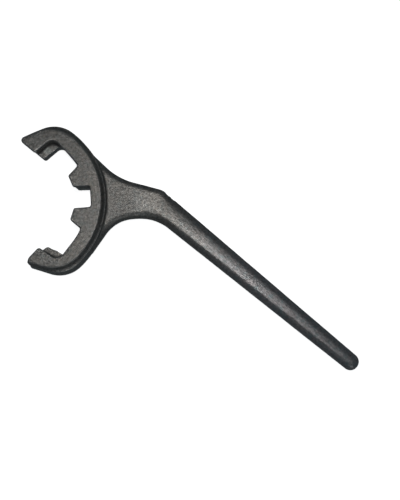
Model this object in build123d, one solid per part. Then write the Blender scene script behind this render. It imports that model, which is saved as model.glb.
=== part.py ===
from build123d import *

import os
from math import acos, cos, degrees, radians, sin

# Fire hydrant wrench: a rigid two-hook jaw that grips the lugs of a hose coupling,
# a square notch between two teeth for a valve spindle, and a tapered bar to pull on.
#
# Frame: the origin is the jaw centre on the flat back of the head, +X runs along the
# jaw's axis towards the neck, +Y towards the upper hook, +Z towards the front plate.
# All sizes are millimetres.

# Head, seen from the front
JAW_RADIUS = 70.2          # inside of the ring
BODY_RADIUS = 90.6         # outside of the ring at the parting line
PLATE_RADIUS = 87.6        # outside of the raised front plate at its foot
BODY_SHOULDER_RADIUS = 31.0
PLATE_SHOULDER_RADIUS = 38.0
BODY_SHOULDER_ANGLE = 50.0  # where the ring starts to curl into a hook
PLATE_SHOULDER_ANGLE = 46.0
OUTSIDE_RISE = 0.9         # the outside sits this much nearer the upper hook than the jaw
FLANK_ANGLE = 21.0         # slope of the hook's straight back
FLANK_LENGTH = 60.0        # runs past the hook's end face, which cuts it

# Head, through its thickness
HEAD_THICKNESS = 30.0
PLATE_FOOT = 24.0          # the ledge round the front plate
PARTING_Z = 9.0            # the two halves of the mould meet here
LUG_Z = 17.0               # front face of the deeper lug inside each hook
BODY_DRAFT = 4.0
PLATE_DRAFT = 23.0
BACK_EDGE_RADIUS = 2.6
PLATE_EDGE_RADIUS = 1.2
TOOTH_CORNER_RADIUS = 2.4
TOOTH_ROOT_RADIUS = 2.4
NOTCH_ROOT_RADIUS = 1.8
REAR_TOOTH_CORNER_RADIUS = 4.0
HOOK_CORNER_RADIUS = 3.0
REAR_HOOK_CORNER_RADIUS = 4.0
HOOK_BACK_RADIUS = 4.0

# Hooks: the plate's end face is a straight line, and the deeper lug's lies parallel behind it
HOOK_TIP = (20.0, 48.2)
TIP_FACE_ANGLE = 136.7     # from the inner corner towards the outer corner
LUG_STEP = 8.2             # how far the lug's corner lies beyond the plate's
LUG_SET_BACK = 1.3         # how far the lug's end face lies behind the plate's
PLATE_LUG_ANGLE = 38.3     # slope of the gripping face
REAR_LUG_ANGLE = 37.6
PLATE_ROOT_RUN = 15.5      # straight part of the gripping face
REAR_ROOT_RUN = 17.9
PLATE_ROOT_RADIUS = 8.5
REAR_ROOT_RADIUS = 4.5

# Two teeth and the notch between them
TOOTH_INNER = (56.6, 10.8)
TOOTH_OUTER = (52.2, 22.7)
TOOTH_ROOT_ANGLE = 27.4
REAR_TOOTH_INNER = (58.1, 11.0)  # the teeth are set back behind the lugs' front face
REAR_TOOTH_OUTER = (54.3, 22.0)
REAR_TOOTH_ROOT_ANGLE = 25.9
NOTCH_HALF_WIDTH = 10.5
NOTCH_FLOOR = 73.8

# Neck, elbow and bar
NECK_MID_Z = 12.25
NECK_THICKNESS = 18.5      # where the neck leaves the head
END_THICKNESS = 15.5       # at the round end of the bar
SHOULDER_START = (71.5, 53.3)
UPPER_NECK_CORNER = (101.8, 20.0)
UPPER_NECK_RADIUS = 63.0
ELBOW_CORNER = (147.2, 4.7)
ELBOW_RADIUS = 16.0
LOWER_SHOULDER_START = (71.5, -56.3)
LOWER_NECK_CORNER = (97.4, -23.1)
LOWER_NECK_RADIUS = 35.0
LOWER_ELBOW_CORNER = (136.9, -23.1)
LOWER_ELBOW_RADIUS = 46.0
BAR_ANGLE = -43.4
BAR_OFFSET = 90.5          # from the jaw centre to the bar's centre line
BAR_TAPER = 0.0375         # loss of width along the bar
BAR_MIDDLE = 248.5         # along the bar, from the foot of that offset
BAR_MIDDLE_WIDTH = 21.6
BAR_END = 368.2
BAR_END_RADIUS = 8.4
LONG_EDGE_RADIUS = 7.2

# Butt weld between the head's neck stub and the bar
WELD_X = 116.0
WELD_FACE_WIDTH = 6.0
WELD_ROOT_WIDTH = 1.6

REACH = 150.0              # longer than any feature of the head
SAME_POINT = 0.1           # two points closer than this are one corner


def polar(radius, angle):
    return Vector(radius * cos(radians(angle)), radius * sin(radians(angle)))


def mirror_point(point):
    return Vector(point.X, -point.Y)


def outer_face(radius, shoulder_radius, shoulder_angle):
    """The head without its jaw: ring, shoulder arcs and straight hook backs."""
    centre = polar(radius - shoulder_radius, shoulder_angle)
    flank_normal = 90 + FLANK_ANGLE
    flank_start = centre + polar(shoulder_radius, flank_normal)
    flank_end = flank_start - polar(FLANK_LENGTH, FLANK_ANGLE)
    ring_start = polar(radius, shoulder_angle)
    shoulder_middle = centre + polar(shoulder_radius, (flank_normal + shoulder_angle) / 2)
    lower = [
        Line(mirror_point(flank_end), mirror_point(flank_start)),
        ThreePointArc(mirror_point(flank_start), mirror_point(shoulder_middle),
                      mirror_point(ring_start)),
        ThreePointArc(mirror_point(ring_start), polar(radius, -shoulder_angle / 2), (radius, 0)),
    ]
    upper = [
        ThreePointArc((radius, 0), polar(radius, shoulder_angle / 2), ring_start),
        ThreePointArc(ring_start, shoulder_middle, flank_start),
        Line(flank_start, flank_end),
    ]
    closing = Line(flank_end, mirror_point(flank_end))
    return Pos(0, OUTSIDE_RISE) * make_face(lower + upper + [closing])


def lug_corner(step, set_back):
    """The corner of a gripping face: a step along the end face, and a set back behind it."""
    return Vector(*HOOK_TIP) - polar(step, TIP_FACE_ANGLE) + polar(set_back, TIP_FACE_ANGLE - 90)


def jaw_half(corner, angle, run, root_radius, tooth, tooth_angle):
    """The upper edge of the jaw's open space, from the notch floor out past the hook."""
    root_centre = corner + polar(run, angle) + polar(root_radius, angle - 90)
    swing = degrees(acos((JAW_RADIUS - root_radius) / root_centre.length))
    normal = Vector(1, 0).get_angle(root_centre) - swing
    ring_touch = polar(JAW_RADIUS, normal)
    root_touch = root_centre + polar(root_radius, normal)
    grip_end = corner + polar(run, angle)
    ring_middle = polar(JAW_RADIUS, (tooth_angle + normal) / 2)
    root_middle = root_centre + polar(root_radius, (normal + angle + 90) / 2)
    tooth_root = polar(JAW_RADIUS, tooth_angle)
    return [
        Polyline((NOTCH_FLOOR, NOTCH_HALF_WIDTH), *tooth, tooth_root),
        ThreePointArc(tooth_root, ring_middle, ring_touch),
        Line(ring_touch, root_touch),
        ThreePointArc(root_touch, root_middle, grip_end),
        Polyline(grip_end, corner, corner + polar(REACH, TIP_FACE_ANGLE)),
    ]


def corners_at(face, points):
    """The corners of a face at the given points and at their mirror images."""
    both = points + [(x, -y) for x, y in points]
    return [vertex for vertex in face.vertices()
            if any(abs(vertex.X - x) < SAME_POINT and abs(vertex.Y - y) < SAME_POINT
                   for x, y in both)]


def jaw_face(corner, angle, run, root_radius, tooth, tooth_angle, tooth_radius, tip_radius):
    """The open space of the jaw at one level, with its corners rounded as cast."""
    upper = jaw_half(corner, angle, run, root_radius, tooth, tooth_angle)
    lower = [mirror(edge, about=Plane.XZ) for edge in upper]
    far = corner + polar(REACH, TIP_FACE_ANGLE)
    floor = Line((NOTCH_FLOOR, -NOTCH_HALF_WIDTH), (NOTCH_FLOOR, NOTCH_HALF_WIDTH))
    space = make_face(upper + lower + [floor, Line(far, mirror_point(far))])
    root = polar(JAW_RADIUS, tooth_angle)
    space = fillet(corners_at(space, [(root.X, root.Y)]), TOOTH_ROOT_RADIUS)
    space = fillet(corners_at(space, [(NOTCH_FLOOR, NOTCH_HALF_WIDTH)]), NOTCH_ROOT_RADIUS)
    space = fillet(corners_at(space, list(tooth)), tooth_radius)
    return fillet(corners_at(space, [(corner.X, corner.Y)]), tip_radius)


def drafted(face, base, height, draft):
    """A face raised from its base level, its walls leaning in by the draft angle."""
    return Pos(0, 0, base) * extrude(face, amount=height, taper=draft)


def edges_at(solid, level):
    """The edges that lie flat at one height."""
    flat = solid.edges().filter_by_position(Axis.Z, level - SAME_POINT, level + SAME_POINT)
    return flat.filter_by(lambda edge: edge.bounding_box().size.Z < SAME_POINT)


def jaw_cutters():
    """The jaw's open space at two depths: past the plate, and past the deeper lugs."""
    plate_jaw = jaw_face(lug_corner(0, 0), PLATE_LUG_ANGLE, PLATE_ROOT_RUN, PLATE_ROOT_RADIUS,
                         (TOOTH_INNER, TOOTH_OUTER), TOOTH_ROOT_ANGLE, TOOTH_CORNER_RADIUS,
                         HOOK_CORNER_RADIUS)
    lug_jaw = jaw_face(lug_corner(LUG_STEP, LUG_SET_BACK), REAR_LUG_ANGLE, REAR_ROOT_RUN,
                       REAR_ROOT_RADIUS, (REAR_TOOTH_INNER, REAR_TOOTH_OUTER),
                       REAR_TOOTH_ROOT_ANGLE, REAR_TOOTH_CORNER_RADIUS,
                       REAR_HOOK_CORNER_RADIUS)
    front = extrude(plate_jaw, amount=HEAD_THICKNESS, dir=(0, 0, 1))
    back = extrude(lug_jaw, amount=HEAD_THICKNESS, dir=(0, 0, 1), both=True)
    return Pos(0, 0, LUG_Z) * front, back


def hook_backs(solid):
    """The upright edges where each hook's back meets its end face."""
    leaning = [edge for edge in solid.edges().filter_by(GeomType.LINE)
               if edge.bounding_box().size.Z > HEAD_THICKNESS / 6]
    return [edge for edge in leaning if edge.center().X < HOOK_TIP[0] / 2]


def head_body(stub):
    """The body of the head with its neck stub, drafted both ways from the parting line."""
    outline = outer_face(BODY_RADIUS, BODY_SHOULDER_RADIUS, BODY_SHOULDER_ANGLE)
    front = drafted(outline, PARTING_Z, PLATE_FOOT - PARTING_Z, BODY_DRAFT)
    back = mirror(drafted(outline, -PARTING_Z, PARTING_Z, BODY_DRAFT), about=Plane.XY)
    plate_jaw, lug_jaw = jaw_cutters()
    body = front + back + stub - lug_jaw - plate_jaw
    body = fillet(hook_backs(body), HOOK_BACK_RADIUS)
    return fillet(edges_at(body, 0), BACK_EDGE_RADIUS)


def front_plate():
    """The raised front plate with its drafted wall and rounded rim."""
    outline = outer_face(PLATE_RADIUS, PLATE_SHOULDER_RADIUS, PLATE_SHOULDER_ANGLE)
    plate_jaw, lug_jaw = jaw_cutters()
    plate = drafted(outline, PLATE_FOOT, HEAD_THICKNESS - PLATE_FOOT, PLATE_DRAFT) - plate_jaw
    plate = fillet(hook_backs(plate), HOOK_BACK_RADIUS)
    return fillet(edges_at(plate, HEAD_THICKNESS), PLATE_EDGE_RADIUS)


def along_bar(distance, side):
    """A point on the bar: a distance along it, and off its centre line to one side."""
    return polar(distance, BAR_ANGLE) + polar(BAR_OFFSET + side, BAR_ANGLE + 90)


def neck_and_bar_outline():
    """The neck, elbow and bar seen from the front, as corners with their radii."""
    end_side = (BAR_MIDDLE_WIDTH - (BAR_END - BAR_MIDDLE) * BAR_TAPER) / 2
    corners = [
        (SHOULDER_START, 0),
        (LOWER_SHOULDER_START, 0),
        (LOWER_NECK_CORNER, LOWER_NECK_RADIUS),
        (LOWER_ELBOW_CORNER, LOWER_ELBOW_RADIUS),
        (along_bar(BAR_END, -end_side), BAR_END_RADIUS),
        (along_bar(BAR_END, end_side), BAR_END_RADIUS),
        (ELBOW_CORNER, ELBOW_RADIUS),
        (UPPER_NECK_CORNER, UPPER_NECK_RADIUS),
    ]
    points = [corner for corner, radius in corners]
    radii = [radius for corner, radius in corners]
    return make_face(FilletPolyline(*points, radius=radii, close=True))


def side_profile():
    """The neck and bar seen from below: one even taper down to the round end."""
    start = SHOULDER_START[0]
    end = along_bar(BAR_END, 0).X + BAR_MIDDLE_WIDTH
    stations = [(start, NECK_THICKNESS), (end, END_THICKNESS)]
    front = [(x, NECK_MID_Z + thickness / 2) for x, thickness in stations]
    back = [(x, NECK_MID_Z - thickness / 2) for x, thickness in reversed(stations)]
    return make_face(Plane.XZ * Polyline(*front, *back, close=True))


def neck_and_bar():
    """The neck, elbow and bar in one, their long edges rounded almost to an oval."""
    slab = extrude(neck_and_bar_outline(), amount=HEAD_THICKNESS, dir=(0, 0, 1))
    solid = slab & extrude(side_profile(), amount=2 * REACH, both=True)
    long_edges = [edge for edge in solid.edges() if edge.center().X > SHOULDER_START[0] + 1
                  and edge.bounding_box().size.Z < END_THICKNESS / 2]
    return fillet(long_edges, LONG_EDGE_RADIUS)


def weld_groove():
    """The double V that the weld fills, right through the neck from both faces."""
    face_half = WELD_FACE_WIDTH / 2
    root_half = WELD_ROOT_WIDTH / 2
    rise = HEAD_THICKNESS / 2
    flare = root_half + (face_half - root_half) * 2 * rise / NECK_THICKNESS
    right_side = [(WELD_X + flare, NECK_MID_Z + rise), (WELD_X + root_half, NECK_MID_Z),
                  (WELD_X + flare, NECK_MID_Z - rise)]
    left_side = [(2 * WELD_X - x, z) for x, z in reversed(right_side)]
    profile = make_face(Plane.XZ * Polyline(*right_side, *left_side, close=True))
    return extrude(profile, amount=REACH, both=True)


def build_parts():
    whole = neck_and_bar()
    groove = weld_groove()
    pieces = (whole - groove).solids().sort_by(Axis.X)
    return {
        "jaw_head": head_body(pieces[0]) + front_plate(),
        "handle_bar": pieces[-1],
        "neck_weld": whole & groove,
    }


os.makedirs("parts", exist_ok=True)
for name, piece in build_parts().items():
    piece.label = name
    export_step(piece, f"parts/{name}.step")
    box = piece.bounding_box()
    print(name, "solids", len(piece.solids()), "volume", round(piece.volume),
          "size", [round(value, 1) for value in box.size])
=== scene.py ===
# %% [markdown]
# # A fire hydrant wrench in black cast iron
#
# The real tool is one rigid piece of metal: an open jaw with two hooks and two teeth, a flat
# neck, and a cranked bar to pull on. The CAD model gives its sizes. This lesson turns that
# model into cast metal, in four steps: one soft-edged skin, the unevenness of a sand mould,
# three cut pieces (head, weld and bar), and the oxide on top of them.
#
# Every length is in metres, in the frame of the CAD model: X runs from the jaw to the neck,
# Y towards the upper hook, and Z from the flat back to the raised front plate.

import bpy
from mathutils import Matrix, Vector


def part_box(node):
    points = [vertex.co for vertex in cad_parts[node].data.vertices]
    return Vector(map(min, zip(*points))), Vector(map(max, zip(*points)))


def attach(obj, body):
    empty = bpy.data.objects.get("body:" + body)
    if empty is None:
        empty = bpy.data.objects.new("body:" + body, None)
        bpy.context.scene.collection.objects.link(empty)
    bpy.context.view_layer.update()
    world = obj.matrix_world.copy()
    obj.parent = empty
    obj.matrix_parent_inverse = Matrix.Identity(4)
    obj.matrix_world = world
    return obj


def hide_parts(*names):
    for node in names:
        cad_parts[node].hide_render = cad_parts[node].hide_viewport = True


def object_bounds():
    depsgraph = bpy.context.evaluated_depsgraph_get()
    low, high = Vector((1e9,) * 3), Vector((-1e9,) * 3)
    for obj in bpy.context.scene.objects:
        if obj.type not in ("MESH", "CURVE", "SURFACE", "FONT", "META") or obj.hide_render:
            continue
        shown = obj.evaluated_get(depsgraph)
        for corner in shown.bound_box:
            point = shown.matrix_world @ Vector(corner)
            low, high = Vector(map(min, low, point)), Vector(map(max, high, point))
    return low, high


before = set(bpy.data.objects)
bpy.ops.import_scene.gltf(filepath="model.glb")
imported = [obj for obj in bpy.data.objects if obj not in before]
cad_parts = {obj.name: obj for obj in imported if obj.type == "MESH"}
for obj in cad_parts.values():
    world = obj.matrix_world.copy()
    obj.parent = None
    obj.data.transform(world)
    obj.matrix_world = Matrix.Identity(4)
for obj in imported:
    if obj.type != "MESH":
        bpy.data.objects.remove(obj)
cad_low, cad_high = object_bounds()
print("CAD box in mm:", [round(1000 * side) for side in cad_high - cad_low])

# %% [markdown]
# The rest comes from Blender itself: `bmesh` cuts meshes, `noise` gives the same bumps on every
# run, and `numpy` moves many points at once. One millimetre gets a name, because a workshop
# thinks in millimetres and Blender in metres.

# %% Workshop tools
import math

import bmesh
import bpy
import numpy as np
from mathutils import Vector, noise

MM = 0.001
scene = bpy.context.scene
head_low, head_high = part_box("jaw_head")
bar_low, bar_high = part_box("handle_bar")
weld_low, weld_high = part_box("neck_weld")
print("head is", round((head_high.z - head_low.z) / MM, 1), "mm thick")

# %% [markdown]
# ## The camera
#
# The tool lies on its flat back, and the eye is nearly straight above it, one metre away,
# leaning a few degrees towards the foot of the table. A long lens keeps the bar from looking
# stretched. The camera comes first, because every later choice is judged through it.

# %% Place the camera
VIEW_LEAN = math.radians(8.53)
VIEW_TURN = math.radians(-3.66)
VIEW_DISTANCE = 0.9975
AIM_OFFSET = Vector((11.8, -5.6, 15.0)) * MM


def make_camera():
    """A camera above the wrench, aimed a little past the middle of its box."""
    lens = bpy.data.cameras.new("overhead_camera")
    lens.lens = 72
    lens.sensor_width = 36
    camera = bpy.data.objects.new("overhead_camera", lens)
    scene.collection.objects.link(camera)
    away = Vector((math.sin(VIEW_LEAN) * math.sin(VIEW_TURN),
                   -math.sin(VIEW_LEAN) * math.cos(VIEW_TURN), math.cos(VIEW_LEAN)))
    camera.location = (cad_low + cad_high) / 2 + AIM_OFFSET + away * VIEW_DISTANCE
    camera.rotation_euler = (VIEW_LEAN, 0, VIEW_TURN)
    return camera


scene.camera = make_camera()
print("camera at", [round(value, 3) for value in scene.camera.location])

# %% [markdown]
# ## One skin from three nodes
#
# On the real tool the metal runs on through the weld, so the surface must too. The three CAD
# nodes meet face to face. A voxel remesh pours them into a single closed skin of small, even
# faces, and a few rounds of smoothing melt the machined corners, as sand and molten iron do.
# Bevels would need every edge picked by hand, and they would stay too regular for a casting.

# %% Pour the skin
VOXEL = 0.65 * MM
MELT_ROUNDS = 3


def apply_modifier(piece, kind, **settings):
    """Adds one modifier, sets it, and makes its result permanent."""
    modifier = piece.modifiers.new(kind.lower(), kind)
    for name, value in settings.items():
        setattr(modifier, name, value)
    with bpy.context.temp_override(object=piece, active_object=piece, selected_objects=[piece]):
        bpy.ops.object.modifier_apply(modifier=modifier.name)


def pour_skin(node_names):
    """One closed mesh with the outer shape of the given CAD nodes."""
    shape = bmesh.new()
    for name in node_names:
        shape.from_mesh(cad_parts[name].data)
    mesh = bpy.data.meshes.new("iron_skin")
    shape.to_mesh(mesh)
    shape.free()
    mesh.materials.clear()
    skin = bpy.data.objects.new("iron_skin", mesh)
    scene.collection.objects.link(skin)
    apply_modifier(skin, "REMESH", mode="VOXEL", voxel_size=VOXEL)
    apply_modifier(skin, "SMOOTH", factor=0.5, iterations=MELT_ROUNDS)
    return skin


skin = pour_skin(["jaw_head", "neck_weld", "handle_bar"])
print("skin:", len(skin.data.vertices), "points")

# %% [markdown]
# ## Full corners
#
# Molten iron leaves no sharp inner corner: every step between two levels ends in a fillet. The
# skin gets them by drawing points towards the middle of their neighbours, many times over. For
# that, all points stand in one array, and the edges of the mesh say which are neighbours.

# %% Points and their neighbours
def read_points(mesh, what="co"):
    """The points of a mesh, or their normals, as rows of three numbers."""
    flat = np.empty(len(mesh.vertices) * 3, np.float32)
    mesh.vertices.foreach_get(what, flat)
    return flat.reshape(-1, 3).astype(float)


def write_points(mesh, points):
    """Moves the points of a mesh to the given places."""
    mesh.vertices.foreach_set("co", points.astype(np.float32).ravel())
    mesh.update()


def neighbours(mesh):
    """The two ends of every edge of a mesh."""
    ends = np.empty(len(mesh.edges) * 2, np.int32)
    mesh.edges.foreach_get("vertices", ends)
    return ends.reshape(-1, 2)


def relax(values, ends, rounds, weight=1.0):
    """Draws each row halfway to the middle of its neighbours, as far as its weight says."""
    first, second = ends.T
    count = np.bincount(ends.ravel(), minlength=len(values))
    for _ in range(rounds):
        total = np.stack([np.bincount(first, column[second], len(values))
                          + np.bincount(second, column[first], len(values))
                          for column in values.T], axis=1)
        pull = total / count[:, None] - values
        values = values + 0.5 * pull * np.reshape(weight, (-1, 1))
    return values


def smooth_step(values, start, end):
    """0 before the start, 1 after the end, and an even blend between them."""
    share = np.clip((values - start) / (end - start), 0, 1)
    return share * share * (3 - 2 * share)


ends = neighbours(skin.data)
points = read_points(skin.data)
normals = read_points(skin.data, "normal")
print("skin:", len(ends), "edges")

# %% [markdown]
# A point is in a corner when it lies below a lightly smoothed copy of the skin. The rim of the
# front plate is rounded by moving its points up or down only, so that its outline stays. The
# front edges of the lugs are rounded in every direction, by years of gripping, and their
# weights are smoothed first, so that no step shows where the rounding ends.

# %% Round the inner corners and the lugs
LIGHT_ROUNDS = 10
FILLET_DEPTH = 0.25 * MM
FILLET_ROUNDS = 12
CORNER_GAIN = 1.6
CORNER_BLEND_ROUNDS = 6
RIM_START = 26 * MM
RIM_FULL = 29 * MM
RIM_ROUNDS = 14
LUG_FACE = 17 * MM
LUG_START = 33 * MM
LUG_BLEND = 4 * MM
LUG_REACH = 62 * MM
GRIP_START = 9 * MM
GRIP_FULL = 13 * MM
GRIP_ROUNDS = 14
GRIP_BLEND_ROUNDS = 4
LOWEST_GRIP = -0.02 * MM

standing = ((points - relax(points, ends, LIGHT_ROUNDS)) * normals).sum(1)
corner = np.clip(-standing / FILLET_DEPTH, 0, 1)
corner = np.clip(CORNER_GAIN * relax(corner[:, None], ends, CORNER_BLEND_ROUNDS)[:, 0], 0, 1)
points = relax(points, ends, FILLET_ROUNDS, corner)

at_rim = smooth_step(points[:, 2], RIM_START, RIM_FULL)
points[:, 2] = relax(points, ends, RIM_ROUNDS, at_rim)[:, 2]

radius = np.hypot(points[:, 0], points[:, 1])
at_lug = smooth_step(np.abs(points[:, 1]), LUG_START, LUG_START + LUG_BLEND)
at_front = smooth_step(points[:, 2], GRIP_START, GRIP_FULL)
at_front *= points[:, 2] < LUG_FACE + 1 * MM
gripping = at_lug * at_front * (radius < LUG_REACH) * (standing > LOWEST_GRIP)
gripping = relax(gripping[:, None].astype(float), ends, GRIP_BLEND_ROUNDS)
points = relax(points, ends, GRIP_ROUNDS, gripping)
write_points(skin.data, points)
normals = read_points(skin.data, "normal")
print("corners filled on", round(100 * (corner > 0.5).mean(), 1), "% of the points")

# %% [markdown]
# ## Where the edges are
#
# Handling rubs the raised edges bright, and the corners are painted darker, as shade. To know
# which is which, the skin is compared with a heavily smoothed copy of itself: a point that stands
# out from the copy is on an edge, and a point that lies below it is in a corner. The result is
# stored on the mesh as two attributes, which the materials read later.

# %% Measure edges and corners
HEAVY_ROUNDS = 45
EDGE_HEIGHT = 0.9 * MM
CORNER_DEPTH = 0.9 * MM


def store(mesh, name, values):
    """Keeps one number for each point of a mesh, under a name that materials can read."""
    attribute = mesh.attributes.new(name, "FLOAT", "POINT")
    attribute.data.foreach_set("value", np.clip(values, 0, 1).astype(np.float32))


standing = ((points - relax(points, ends, HEAVY_ROUNDS)) * normals).sum(1)
store(skin.data, "raised_edge", standing / EDGE_HEIGHT)
store(skin.data, "inner_corner", -standing / CORNER_DEPTH)
print("edges stand up to", round(standing.max() / MM, 2), "mm proud")

# %% [markdown]
# ## The crown of the bar
#
# The bar is not flat on top. It is a little domed, and the top of the dome lies nearer the
# lower edge, so a streak of light runs along that side. Every point beyond the elbow sinks by
# its squared distance from the line of the dome, above the middle of the bar, and rises below.

# %% Dome the bar
BAR_DIRECTION = np.array((math.cos(math.radians(-43.4)), math.sin(math.radians(-43.4))))
BAR_SIDE = np.array((-BAR_DIRECTION[1], BAR_DIRECTION[0]))
BAR_OFFSET = 90.5 * MM
DOME_SHIFT = -3.0 * MM
DOME_RADIUS = 42 * MM
DOME_REACH = 14 * MM
DOME_START = 96 * MM
DOME_BLEND = 30 * MM
DOME_FULL_HEIGHT = 6 * MM

along = points[:, :2] @ BAR_DIRECTION
across = points[:, :2] @ BAR_SIDE - BAR_OFFSET - DOME_SHIFT
sink = np.clip(np.abs(across), 0, DOME_REACH) ** 2 / (2 * DOME_RADIUS)
sink *= smooth_step(along, DOME_START, DOME_START + DOME_BLEND)
share = np.clip((points[:, 2] - (bar_low.z + bar_high.z) / 2) / DOME_FULL_HEIGHT, -1, 1)
points[:, 2] -= sink * share
write_points(skin.data, points)
normals = read_points(skin.data, "normal")
print("the dome falls up to", round(sink.max() / MM, 2), "mm")

# %% [markdown]
# ## The draft of the jaw
#
# A pattern is pulled out of the sand towards the back, so the jaw's walls open a few degrees
# that way, behind the front face of the hook lugs. The CAD walls are upright there. The skin
# gets the lean: each wall point that faces into the jaw moves into the metal, more the further
# back it lies.

# %% Lean the jaw's walls
DRAFT = math.tan(math.radians(5.5))
JAW_MOUTH = 74 * MM
MOUTH_MARGIN = 2 * MM
FACING_LIMIT = 0.35
LEAN_BLEND_ROUNDS = 10

radius = np.hypot(points[:, 0], points[:, 1])
upright = 1 - smooth_step(np.abs(normals[:, 2]), 0.5, 0.9)
faces_jaw = (normals[:, :2] * points[:, :2]).sum(1) < FACING_LIMIT * radius
inside_jaw = faces_jaw & (radius < JAW_MOUTH + MOUTH_MARGIN) & (points[:, 0] > 0)
behind = np.clip(LUG_FACE - points[:, 2], 0, LUG_FACE)
lean = np.where(inside_jaw, behind * DRAFT * upright, 0)
lean = relax(lean[:, None], ends, LEAN_BLEND_ROUNDS)[:, 0]
print("jaw walls lean up to", round(lean.max() / MM, 2), "mm")

# %% [markdown]
# ## The unevenness of a sand mould
#
# No wall of a casting is flat. Three sizes of unevenness overlap: slow waves from the packing
# of the sand, lumps a few millimetres wide, and pinholes where gas or grit sat. All of them
# only take metal away, so the tool never grows past its CAD box. A bump map alone would leave
# the outline perfect, and the outline is where a casting gives itself away.

# %% Cast unevenness
WAVE_LENGTH = 26 * MM
LUMP_LENGTH = 5.5 * MM
PIT_LENGTH = 2.3 * MM
WAVE_DEPTH = 0.10 * MM
LUMP_DEPTH = 0.055 * MM
PIT_DEPTH = 0.12 * MM
PIT_START = 0.45


def noise_field(points, length, octaves=1, seed=0.0):
    """Smooth noise from about -1 to 1 at every point, with features of the given length."""
    shift = Vector((seed, seed * 1.7, -seed))
    values = [noise.fractal(Vector(point) / length + shift, 1.0, 2.0, octaves)
              for point in points]
    return np.array(values)


waves = noise_field(points, WAVE_LENGTH, 2, seed=3.1)
lumps = noise_field(points, LUMP_LENGTH, 2, seed=11.4)
grit = noise_field(points, PIT_LENGTH, 1, seed=27.9)
pits = np.clip(grit - PIT_START, 0, 1) / (1 - PIT_START)
depth = WAVE_DEPTH * (1 + waves) + LUMP_DEPTH * (1 + lumps) + PIT_DEPTH * pits
print("sand takes off", round(depth.mean() / MM, 2), "mm on average")

# %% [markdown]
# ## The parting line
#
# The two halves of the mould meet in a plane, and a thin fin of iron creeps into the gap. It is
# knocked off and ground, which leaves a low, broken ridge round the outside. The ridge is the
# place where the sand took less away. Along the neck it climbs from the head's parting height
# to the middle of the bar.

# %% Parting ridge
HEAD_PARTING = 9 * MM
BAR_PARTING = (bar_low.z + bar_high.z) / 2
RIDGE_HALF_WIDTH = 0.75 * MM
RIDGE_HEIGHT = 0.12 * MM
RIDGE_CLIMB = 30 * MM
RIDGE_BREAKS = 9 * MM


def parting_ridge(points, normals):
    """How much of the ridge there is at every point, from 0 to 1."""
    climb = smooth_step(points[:, 0], head_high.x - RIDGE_CLIMB, head_high.x)
    height = HEAD_PARTING + (BAR_PARTING - HEAD_PARTING) * climb
    across = (points[:, 2] - height) / RIDGE_HALF_WIDTH
    wall = 1 - smooth_step(np.abs(normals[:, 2]), 0.3, 0.7)
    broken = 0.55 + 0.45 * noise_field(points, RIDGE_BREAKS, 2, seed=41.0)
    return np.exp(-across ** 2) * wall * np.clip(broken, 0, 1)


ridge = parting_ridge(points, normals)
depth = np.maximum(depth + RIDGE_HEIGHT * (1 - ridge) - 0.5 * RIDGE_HEIGHT, 0)
print("ridge covers", round(100 * (ridge > 0.3).mean(), 1), "% of the points")

# %% [markdown]
# ## Flash in the notch and a chipped elbow
#
# A few marks make this tool itself. The upper wall of the notch is rough, with knobs of flash
# that were never filed off. The outer corner of the elbow is chipped in two small steps, where
# it has been dropped or hammered. Both are made by moving points, as a file or a blow would.
# The lower lug's corner is worn back a little, and the flash and the upper lug get a pale
# greenish tint, a painted reflection.

# %% Local marks
NOTCH_HALF_WIDTH = 10.5 * MM
NOTCH_START = 60 * MM
KNOB_LENGTH = 3.4 * MM
KNOB_DEPTH = 0.9 * MM
UPPER_LUG = (31.0 * MM, 53.0 * MM)
# Size and strength of the pale painted reflection on the upper lug.
REFLECTION_SIZE = 7 * MM
REFLECTION_AMOUNT = 0.7
LOWER_LUG_CORNER = (27.5 * MM, -45.0 * MM)
LUG_WEAR = 1.6 * MM
LUG_WEAR_SIZE = 12 * MM
CHIP_SIZE = 4.0 * MM
ELBOW_CHIPS = [((152.6, 0.4), 30.0, 0.55), ((157.0, -4.4), 47.0, 0.5)]


def ball(points, centre, size):
    """1 at the centre and 0 from the given distance on, measured in the plan view."""
    away = np.hypot(points[:, 0] - centre[0], points[:, 1] - centre[1])
    return 1 - smooth_step(away, 0.25 * size, size)


def notch_flash(points, normals):
    """Rough knobs on the notch's upper wall, below the front plate."""
    near = (np.abs(points[:, 1] - NOTCH_HALF_WIDTH) < 3 * MM) & (normals[:, 1] < -0.5)
    along = (points[:, 0] > NOTCH_START) & (points[:, 0] < JAW_MOUTH)
    knobs = 0.5 + noise_field(points, KNOB_LENGTH, 1, seed=63.0)
    low = 1 - smooth_step(points[:, 2], 15 * MM, 24 * MM)
    return np.where(near & along, np.clip(knobs, 0, 1) * low, 0)


knobs = notch_flash(points, normals)
between_knobs = relax(((1 - knobs) * (knobs > 0))[:, None], ends, 3)[:, 0]
depth += KNOB_DEPTH * between_knobs
# Where the pale painted reflection goes: the flash knobs and a patch on the upper lug.
on_lug = (points[:, 2] < LUG_FACE + 1 * MM) & (normals[:, 2] > 0.8)
painted_reflection = np.maximum(knobs, REFLECTION_AMOUNT * ball(points, UPPER_LUG, REFLECTION_SIZE) * on_lug)
for (x, y), direction, bite in ELBOW_CHIPS:
    outward = np.array((math.cos(math.radians(direction)), math.sin(math.radians(direction)), 0))
    facing = np.clip((normals * outward).sum(1), 0, 1)
    depth += bite * MM * facing * ball(points, (x * MM, y * MM), CHIP_SIZE)

moved = points - normals * (depth + lean)[:, None]
below_plate = 1 - smooth_step(points[:, 2], 17 * MM, 21 * MM)
moved[:, 1] -= LUG_WEAR * ball(points, LOWER_LUG_CORNER, LUG_WEAR_SIZE) * below_plate
write_points(skin.data, moved)
store(skin.data, "sand_pit", pits)
store(skin.data, "painted_reflection", painted_reflection)
print("deepest mark", round((depth + lean).max() / MM, 2), "mm")

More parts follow.
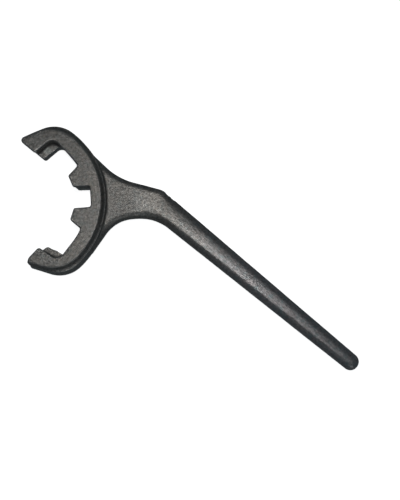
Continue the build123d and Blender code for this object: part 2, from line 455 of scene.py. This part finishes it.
# %% [markdown]
# ## Three pieces
#
# The tool is taken to be joined by a butt weld across the neck, ground almost flush. The skin
# is cut on both sides of the weld, and each cut is closed with a flat cap, so that head, weld
# and bar are solid pieces that meet edge to edge. Cutting one skin keeps the surface
# continuous, which three separately modelled pieces would not.

# %% Cut the skin at the weld
WELD_HALF_WIDTH = (weld_high.x - weld_low.x) / 2
weld_x = (weld_low.x + weld_high.x) / 2


def cut_piece(name, x_from, x_to):
    """The part of the skin between two planes across the neck, with closed ends."""
    shape = bmesh.new()
    shape.from_mesh(skin.data)
    for x, keep in ((x_from, 1), (x_to, -1)):
        if x is None:
            continue
        everything = shape.verts[:] + shape.edges[:] + shape.faces[:]
        bmesh.ops.bisect_plane(shape, geom=everything, dist=1e-7, plane_co=(x, 0, 0),
                               plane_no=(keep, 0, 0), clear_inner=True)
        rim = [edge for edge in shape.edges if edge.is_boundary]
        for edge in rim:
            edge.smooth = False
        bmesh.ops.holes_fill(shape, edges=rim, sides=0)
    bmesh.ops.triangulate(shape, faces=[face for face in shape.faces if len(face.verts) > 4])
    mesh = bpy.data.meshes.new(name)
    shape.to_mesh(mesh)
    shape.free()
    for face in mesh.polygons:
        face.use_smooth = True
    piece = bpy.data.objects.new(name, mesh)
    scene.collection.objects.link(piece)
    print(name, len(mesh.polygons), "faces")
    return piece


head = cut_piece("head_casting", None, weld_x - WELD_HALF_WIDTH)
weld = cut_piece("weld_bead", weld_x - WELD_HALF_WIDTH, weld_x + WELD_HALF_WIDTH)
bar = cut_piece("bar_casting", weld_x + WELD_HALF_WIDTH, None)
bpy.data.objects.remove(skin)

# %% [markdown]
# ## The ground weld
#
# A weld bead is a row of ripples, and grinding leaves only a trace of them. The row runs across
# the neck, with a ripple every 1.7 mm, and it fades to nothing at the cuts, so that the piece
# still meets its neighbours.

# %% Ripple the weld
RIPPLE_PITCH = 1.7 * MM
RIPPLE_DEPTH = 0.02 * MM
RIPPLE_CURVE = 2.0 * MM
RIPPLE_WANDER = 4 * MM


def ripple_weld(piece):
    """Lowers the weld's surface in a row of faint curved ripples."""
    points = read_points(piece.data)
    normals = read_points(piece.data, "normal")
    across = (points[:, 0] - weld_x) / WELD_HALF_WIDTH
    inside = 1 - smooth_step(np.abs(across), 0.7, 1.0)
    curve = RIPPLE_CURVE * across ** 2
    phase = 2 * math.pi * (points[:, 1] + curve + points[:, 2]) / RIPPLE_PITCH
    wander = noise_field(points, RIPPLE_WANDER, 1, seed=80.0)
    drop = RIPPLE_DEPTH * inside * (0.5 + 0.5 * np.sin(phase + 3 * wander))
    write_points(piece.data, points - normals * drop[:, None])


ripple_weld(weld)
print("weld is", round(2 * WELD_HALF_WIDTH / MM, 1), "mm wide")

# %% [markdown]
# ## Node groups for the finish
#
# Head, bar and weld share one kind of surface, each with its own values. So each effect is a
# node group, built once: the grain of the sand, the mottled oxide, the rub on edges, and a mask
# that runs along the tool. Small helpers make the groups readable.

# %% Helpers for node groups
def new_group(name, inputs, outputs):
    """A shader node group with named float or colour sockets."""
    group = bpy.data.node_groups.new(name, "ShaderNodeTree")
    for label, value in inputs:
        kind = "NodeSocketColor" if isinstance(value, tuple) else "NodeSocketFloat"
        socket = group.interface.new_socket(label, in_out="INPUT", socket_type=kind)
        socket.default_value = value
    for label, kind in outputs:
        group.interface.new_socket(label, in_out="OUTPUT", socket_type=kind)
    ends = group.nodes.new("NodeGroupInput"), group.nodes.new("NodeGroupOutput")
    return group, ends[0], ends[1]


def add_noise(tree, place, scale, detail, roughness=0.55):
    """A noise texture; scale is in features per metre."""
    node = tree.nodes.new("ShaderNodeTexNoise")
    node.inputs["Scale"].default_value = scale
    node.inputs["Detail"].default_value = detail
    node.inputs["Roughness"].default_value = roughness
    tree.links.new(place, node.inputs["Vector"])
    return node.outputs["Fac"]


def add_math(tree, operation, first, second, clamp=False):
    """One arithmetic step; each input is a socket or a plain number."""
    node = tree.nodes.new("ShaderNodeMath")
    node.operation = operation
    node.use_clamp = clamp
    for socket, value in zip(node.inputs, (first, second)):
        if isinstance(value, (int, float)):
            socket.default_value = value
        else:
            tree.links.new(value, socket)
    return node.outputs["Value"]


def add_range(tree, value, low, high, to_low, to_high):
    """Stretches a value from one range to another, and stops at the ends."""
    node = tree.nodes.new("ShaderNodeMapRange")
    numbers = {"From Min": low, "From Max": high, "To Min": to_low, "To Max": to_high}
    tree.links.new(value, node.inputs["Value"])
    for label, number in numbers.items():
        if isinstance(number, (int, float)):
            node.inputs[label].default_value = number
        else:
            tree.links.new(number, node.inputs[label])
    return node.outputs["Result"]


def add_mix(tree, share, first, second):
    """Blends two colours; each is a socket or a plain colour."""
    node = tree.nodes.new("ShaderNodeMix")
    node.data_type = "RGBA"
    tree.links.new(share, node.inputs["Factor"])
    for label, value in (("A", first), ("B", second)):
        socket = next(s for s in node.inputs if s.name == label and s.type == "RGBA")
        if isinstance(value, tuple):
            socket.default_value = value
        else:
            tree.links.new(value, socket)
    return next(s for s in node.outputs if s.type == "RGBA")


def add_place(tree):
    """Points of the surface in the frame of the model, in metres."""
    return tree.nodes.new("ShaderNodeTexCoord").outputs["Object"]


def add_stored(tree, name):
    """A number that was stored on the mesh."""
    node = tree.nodes.new("ShaderNodeAttribute")
    node.attribute_name = name
    return node.outputs["Fac"]


# %% [markdown]
# ### Sand grain
#
# Moulding sand prints itself on the iron as a pebbled grain, one or two millimetres across,
# with finer grit on top. It is too fine for the mesh, so it goes into the height of a Bump
# node. The group also gives the tops as a mask, because they are smoother than the hollows.

# %% Sand grain group
def make_sand_grain():
    group, source, result = new_group(
        "sand_grain",
        [("Pebbles per metre", 800.0), ("Grit Share", 0.35)],
        [("Height", "NodeSocketFloat"), ("Tops", "NodeSocketFloat")])
    place = add_place(group)
    pebble = add_noise(group, place, 800.0, 2.0)
    group.links.new(source.outputs["Pebbles per metre"], pebble.node.inputs["Scale"])
    grit = add_noise(group, place, 2600.0, 3.0, 0.7)
    share = add_math(group, "MULTIPLY", grit, source.outputs["Grit Share"])
    height = add_math(group, "ADD", pebble, share)
    tops = add_range(group, pebble, 0.36, 0.66, 0.0, 1.0)
    group.links.new(height, result.inputs["Height"])
    group.links.new(tops, result.inputs["Tops"])
    return group


sand_grain = make_sand_grain()
print("group:", sand_grain.name)

# %% [markdown]
# ### Mottled oxide
#
# Foundry scale is never one colour. Warm clouds drift over a few centimetres, and small flecks
# of warm and cool lie in the grain. The group blends four colours with four sizes of noise, so
# that each use of it only has to name its own colours.

# %% Mottled oxide group
def make_mottled_oxide():
    group, source, result = new_group(
        "mottled_oxide",
        [("Scale Dark", (0.05, 0.05, 0.05, 1.0)), ("Scale Light", (0.1, 0.1, 0.1, 1.0)),
         ("Warm Tint", (0.12, 0.09, 0.07, 1.0)), ("Cool Tint", (0.07, 0.09, 0.1, 1.0)),
         ("Warm Amount", 0.4), ("Cool Amount", 0.3)],
        [("Color", "NodeSocketColor"), ("Clouds", "NodeSocketFloat")])
    place = add_place(group)
    speckle = add_range(group, add_noise(group, place, 430.0, 3.0, 0.65), 0.34, 0.66, 0.0, 1.0)
    clouds = add_range(group, add_noise(group, place, 45.0, 4.0, 0.6), 0.38, 0.66, 0.0, 1.0)
    flecks = add_range(group, add_noise(group, place, 300.0, 2.0, 0.5), 0.52, 0.70, 0.0, 1.0)
    chill = add_range(group, add_noise(group, place, 230.0, 3.0, 0.5), 0.50, 0.68, 0.0, 1.0)
    base = add_mix(group, speckle, source.outputs["Scale Dark"], source.outputs["Scale Light"])
    warmth = add_math(group, "MULTIPLY", clouds, source.outputs["Warm Amount"])
    warm_flecks = add_math(group, "MULTIPLY", flecks, source.outputs["Warm Amount"])
    warm_share = add_math(group, "MAXIMUM", add_math(group, "MULTIPLY", warmth, 0.7), warm_flecks)
    warm = add_mix(group, warm_share, base, source.outputs["Warm Tint"])
    cool_share = add_math(group, "MULTIPLY", chill, source.outputs["Cool Amount"])
    mottled = add_mix(group, cool_share, warm, source.outputs["Cool Tint"])
    group.links.new(mottled, result.inputs["Color"])
    group.links.new(clouds, result.inputs["Clouds"])
    return group


mottled_oxide = make_mottled_oxide()
print("group:", mottled_oxide.name)

# %% [markdown]
# ### Rub on the edges
#
# Handling polishes the raised edges through the scale, never evenly. The stored edge height is
# broken up with noise, and only its upper part counts as rubbed. The corners of the mesh and the
# pits give a second mask, for a painted shade and a rougher surface. A third mask, for a pale
# painted reflection on the flash and the upper lug, is broken up by the same noise.

# %% Edge rub group
def make_edge_rub():
    group, source, result = new_group(
        "edge_rub",
        [("Rub From", 0.45), ("Rub To", 0.95), ("Broken", 0.5)],
        [("Rubbed", "NodeSocketFloat"), ("Corner Shade", "NodeSocketFloat"),
         ("Pale", "NodeSocketFloat")])
    place = add_place(group)
    uneven = add_noise(group, place, 420.0, 4.0, 0.65)
    broken = add_math(group, "MULTIPLY", add_math(group, "SUBTRACT", uneven, 0.5),
                      source.outputs["Broken"])
    edge = add_math(group, "ADD", add_stored(group, "raised_edge"), broken)
    rubbed = add_range(group, edge, source.outputs["Rub From"], source.outputs["Rub To"],
                       0.0, 1.0)
    # Corners and pits give the mask for a painted shade.
    corner = add_math(group, "MAXIMUM", add_stored(group, "inner_corner"),
                      add_stored(group, "sand_pit"))
    corner_shade = add_math(group, "ADD", corner, add_math(group, "MULTIPLY", broken, 0.6))
    group.links.new(rubbed, result.inputs["Rubbed"])
    # A pale painted reflection on the flash knobs and the upper lug.
    pale = add_math(group, "ADD", add_stored(group, "painted_reflection"), broken)
    group.links.new(add_range(group, pale, 0.35, 0.95, 0.0, 0.55), result.inputs["Pale"])
    group.links.new(add_range(group, corner_shade, 0.15, 0.85, 0.0, 1.0),
                    result.inputs["Corner Shade"])
    return group


edge_rub = make_edge_rub()
print("group:", edge_rub.name)

# %% [markdown]
# ### One run of colour
#
# The head is brown-grey with a little rust in the clouds. The bar is cooler and lighter, a
# blue-grey with pink and green flecks in its sheen. The colour drifts from one to the other
# along the neck and the start of the bar, so the weld doesn't show as a stripe.

# %% Colour along the tool
BLEND_START = 0.150
BLEND_END = 0.230


def make_along_tool():
    """A mask that is 0 on the head and 1 on the bar."""
    group, _, result = new_group("along_tool", [], [("Bar", "NodeSocketFloat")])
    place = group.nodes.new("ShaderNodeSeparateXYZ")
    group.links.new(add_place(group), place.inputs["Vector"])
    bar_share = add_range(group, place.outputs["X"], BLEND_START, BLEND_END, 0.0, 1.0)
    group.links.new(bar_share, result.inputs["Bar"])
    return group


along_tool = make_along_tool()
HEAD_OXIDE = dict(
    Scale_Dark=(0.105, 0.104, 0.100, 1.0), Scale_Light=(0.262, 0.257, 0.247, 1.0),
    Warm_Tint=(0.255, 0.222, 0.190, 1.0), Cool_Tint=(0.165, 0.190, 0.188, 1.0),
    Warm_Amount=0.45, Cool_Amount=0.35)
BAR_OXIDE = dict(
    Scale_Dark=(0.165, 0.168, 0.174, 1.0), Scale_Light=(0.365, 0.365, 0.373, 1.0),
    Warm_Tint=(0.320, 0.258, 0.248, 1.0), Cool_Tint=(0.190, 0.250, 0.262, 1.0),
    Warm_Amount=0.55, Cool_Amount=0.60)
# A painted shade for corners and pits.
CORNER_SHADE_COLOUR = (0.085, 0.084, 0.082, 1.0)
RUBBED_IRON = (0.440, 0.432, 0.416, 1.0)
# A pale greenish painted reflection, for the flash knobs and the upper lug.
PAINTED_REFLECTION_TINT = (0.560, 0.620, 0.600, 1.0)
print("colour changes from x =", BLEND_START, "to", BLEND_END, "m")

# %% [markdown]
# ## The iron itself
#
# One function builds a material from the four groups. The scale has the broad sheen of iron
# oxide, not the mirror of bare metal. Rubbed edges are lighter, more metallic and smoother.
# Corners and pits are painted darker, as shade, and are rougher. The flash knobs and the upper
# lug get a pale painted reflection. Each material brings its own grain, rub and bump, and all
# three share the roughness, the metal and the run of colour along the tool.

# %% Iron material
IRON_ROUGHNESS = 0.41
IRON_METAL = 0.88


def place_group(tree, group, **values):
    """One use of a node group, with its own values."""
    node = tree.nodes.new("ShaderNodeGroup")
    node.node_tree = group
    for label, value in values.items():
        node.inputs[label.replace("_", " ")].default_value = value
    return node


def make_iron(name, grain, rub, bump):
    """A cast-iron material from the shared groups and this part's own values."""
    material = bpy.data.materials.new(name)
    material.use_nodes = True
    tree = material.node_tree
    shader = tree.nodes["Principled BSDF"]
    sand = place_group(tree, sand_grain, **grain)
    brown = place_group(tree, mottled_oxide, **HEAD_OXIDE)
    blue = place_group(tree, mottled_oxide, **BAR_OXIDE)
    reach = place_group(tree, along_tool)
    wear = place_group(tree, edge_rub, **rub)
    scale = add_mix(tree, reach.outputs["Bar"], brown.outputs["Color"], blue.outputs["Color"])
    # Corners and pits are painted darker, as shade.
    corner_share = add_math(tree, "MULTIPLY", wear.outputs["Corner Shade"], 0.75)
    corner_shaded = add_mix(tree, corner_share, scale, CORNER_SHADE_COLOUR)
    rubbed = add_mix(tree, wear.outputs["Rubbed"], corner_shaded, RUBBED_IRON)
    # The flash knobs and the upper lug get the pale painted reflection.
    colour = add_mix(tree, wear.outputs["Pale"], rubbed, PAINTED_REFLECTION_TINT)
    tree.links.new(colour, shader.inputs["Base Color"])
    grain_rough = add_range(tree, sand.outputs["Tops"], 0.0, 1.0, IRON_ROUGHNESS + 0.08,
                            IRON_ROUGHNESS - 0.05)
    corner_rough = add_math(tree, "MULTIPLY", wear.outputs["Corner Shade"], 0.16)
    rubbed_smooth = add_math(tree, "MULTIPLY", wear.outputs["Rubbed"], 0.05)
    held_smooth = add_math(tree, "MULTIPLY", reach.outputs["Bar"], 0.06)
    smoother = add_math(tree, "ADD", rubbed_smooth, held_smooth)
    rough = add_math(tree, "SUBTRACT", add_math(tree, "ADD", grain_rough, corner_rough),
                     smoother, clamp=True)
    tree.links.new(rough, shader.inputs["Roughness"])
    metallic = add_range(tree, wear.outputs["Rubbed"], 0.0, 1.0, IRON_METAL, 1.0)
    tree.links.new(metallic, shader.inputs["Metallic"])
    relief = tree.nodes.new("ShaderNodeBump")
    relief.inputs["Strength"].default_value = 1.0
    relief.inputs["Distance"].default_value = bump
    tree.links.new(sand.outputs["Height"], relief.inputs["Height"])
    tree.links.new(relief.outputs["Normal"], shader.inputs["Normal"])
    return material


# %% [markdown]
# ### Three finishes
#
# The bar has the lowest bump, which makes it look smoother where the lamp shines on it. The
# ground weld lies between the two, and its edges count as rubbed sooner.

# %% Head, bar and weld finishes
head_iron = make_iron("head_iron_scale",
                      grain=dict(Pebbles_per_metre=560.0, Grit_Share=0.35),
                      rub=dict(Rub_From=0.34, Rub_To=0.85, Broken=0.6),
                      bump=0.38 * MM)
bar_iron = make_iron("bar_iron_scale",
                     grain=dict(Pebbles_per_metre=600.0, Grit_Share=0.40),
                     rub=dict(Rub_From=0.60, Rub_To=1.15, Broken=0.6),
                     bump=0.20 * MM)
weld_iron = make_iron("weld_scale",
                      grain=dict(Pebbles_per_metre=580.0, Grit_Share=0.35),
                      rub=dict(Rub_From=0.22, Rub_To=0.70, Broken=0.4),
                      bump=0.32 * MM)
for piece, material in ((head, head_iron), (bar, bar_iron), (weld, weld_iron)):
    piece.data.materials.append(material)
print("materials:", head_iron.name, bar_iron.name, weld_iron.name)

# %% [markdown]
# ## Tie the pieces to the frame
#
# Nothing moves on this tool, so all three pieces ride on its one body. Each stands for the CAD
# node of the same part, which is hidden.

# %% Ride and replace
for piece, node, slot in ((head, "jaw_head", "head_iron"), (bar, "handle_bar", "bar_iron"),
                          (weld, "neck_weld", "weld_metal")):
    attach(piece, "root")
    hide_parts(node)
    print(piece.name, "stands for", node)

# %% [markdown]
# ## Table and light
#
# The table is a plain, pale sheet, so bright that it hardly shows a shadow. It must not throw
# its light up into the dark side walls, so it is hidden from diffuse and glossy rays. From
# below it is clear, so that the back of the tool can be seen.

# %% Pale table
TABLE_SIZE = 6.0
TABLE_GAP = 0.2 * MM
TABLE_GLOW = 0.93


def make_table():
    """A large pale sheet just under the tool, clear from below."""
    shape = bmesh.new()
    bmesh.ops.create_grid(shape, x_segments=1, y_segments=1, size=TABLE_SIZE / 2)
    mesh = bpy.data.meshes.new("pale_table")
    shape.to_mesh(mesh)
    shape.free()
    table = bpy.data.objects.new("pale_table", mesh)
    middle = (cad_low + cad_high) / 2
    table.location = (middle.x, middle.y, cad_low.z - TABLE_GAP)
    scene.collection.objects.link(table)
    material = bpy.data.materials.new("pale_table")
    material.use_nodes = True
    tree = material.node_tree
    tree.nodes.remove(tree.nodes["Principled BSDF"])
    glow = tree.nodes.new("ShaderNodeEmission")
    glow.inputs["Color"].default_value = (1.0, 1.0, 1.0, 1.0)
    glow.inputs["Strength"].default_value = TABLE_GLOW
    chalk = tree.nodes.new("ShaderNodeBsdfDiffuse")
    chalk.inputs["Color"].default_value = (0.8, 0.8, 0.8, 1.0)
    both = tree.nodes.new("ShaderNodeAddShader")
    clear = tree.nodes.new("ShaderNodeBsdfTransparent")
    side = tree.nodes.new("ShaderNodeMixShader")
    back = tree.nodes.new("ShaderNodeNewGeometry")
    tree.links.new(glow.outputs["Emission"], both.inputs[0])
    tree.links.new(chalk.outputs["BSDF"], both.inputs[1])
    tree.links.new(back.outputs["Backfacing"], side.inputs["Fac"])
    tree.links.new(both.outputs["Shader"], side.inputs[1])
    tree.links.new(clear.outputs["BSDF"], side.inputs[2])
    tree.links.new(side.outputs["Shader"], tree.nodes["Material Output"].inputs["Surface"])
    mesh.materials.append(material)
    table.visible_diffuse = False
    table.visible_glossy = False
    return table


table = make_table()
print("table top at", round(table.location.z / MM, 1), "mm")

# %% [markdown]
# One soft lamp hangs a metre above the neck, and its light grows weaker towards the ends of the
# tool. A wide, dim fill stands low on the near side, for the walls that face it. A faint cool
# glow keeps the other walls from going black, while past the table the camera sees white.

# %% Lamp and fill
LAMP_PLACE = Vector((0.129, 0.050, 1.0))
LAMP_TARGET = Vector((0.14, -0.03, 0.03))
LAMP_SIZE = 0.12
LAMP_SPREAD = math.radians(50)
LAMP_POWER = 0.166
LAMP_COLOUR = (1.0, 0.985, 0.965)
FILL_PLACE = Vector((0.30, -0.75, 0.42))
FILL_TARGET = Vector((0.08, -0.02, 0.0))
FILL_SIZE = 0.5
FILL_POWER = 0.065
FILL_COLOUR = (0.93, 0.98, 1.0)
SKY_GLOW = 0.11


def make_lamp(name, place, target, size, power, colour):
    """A round soft lamp that shines from its place to its target."""
    light = bpy.data.lights.new(name, "AREA")
    light.shape = "DISK"
    light.size = size
    light.spread = LAMP_SPREAD
    light.energy = power
    light.color = colour
    lamp = bpy.data.objects.new(name, light)
    lamp.location = place
    lamp.rotation_euler = (target - place).to_track_quat("-Z", "Y").to_euler()
    lamp.visible_camera = False
    scene.collection.objects.link(lamp)
    return lamp


lamp = make_lamp("soft_lamp", LAMP_PLACE, LAMP_TARGET, LAMP_SIZE, LAMP_POWER, LAMP_COLOUR)
fill = make_lamp("low_fill", FILL_PLACE, FILL_TARGET, FILL_SIZE, FILL_POWER, FILL_COLOUR)
world = bpy.data.worlds.new("studio")
scene.world = world
world.use_nodes = True
sky = world.node_tree
glow = sky.nodes["Background"]
glow.inputs["Color"].default_value = (0.80, 0.92, 1.0, 1.0)
glow.inputs["Strength"].default_value = SKY_GLOW
paper = sky.nodes.new("ShaderNodeBackground")
paper.inputs["Color"].default_value = (1.0, 1.0, 1.0, 1.0)
seen = sky.nodes.new("ShaderNodeLightPath")
either = sky.nodes.new("ShaderNodeMixShader")
sky.links.new(seen.outputs["Is Camera Ray"], either.inputs["Fac"])
sky.links.new(glow.outputs["Background"], either.inputs[1])
sky.links.new(paper.outputs["Background"], either.inputs[2])
sky.links.new(either.outputs["Shader"], sky.nodes["World Output"].inputs["Surface"])
scene.view_settings.view_transform = "Standard"
scene.view_settings.look = "None"
print(lamp.name, "of", LAMP_POWER, "W and", fill.name, "of", FILL_POWER, "W")
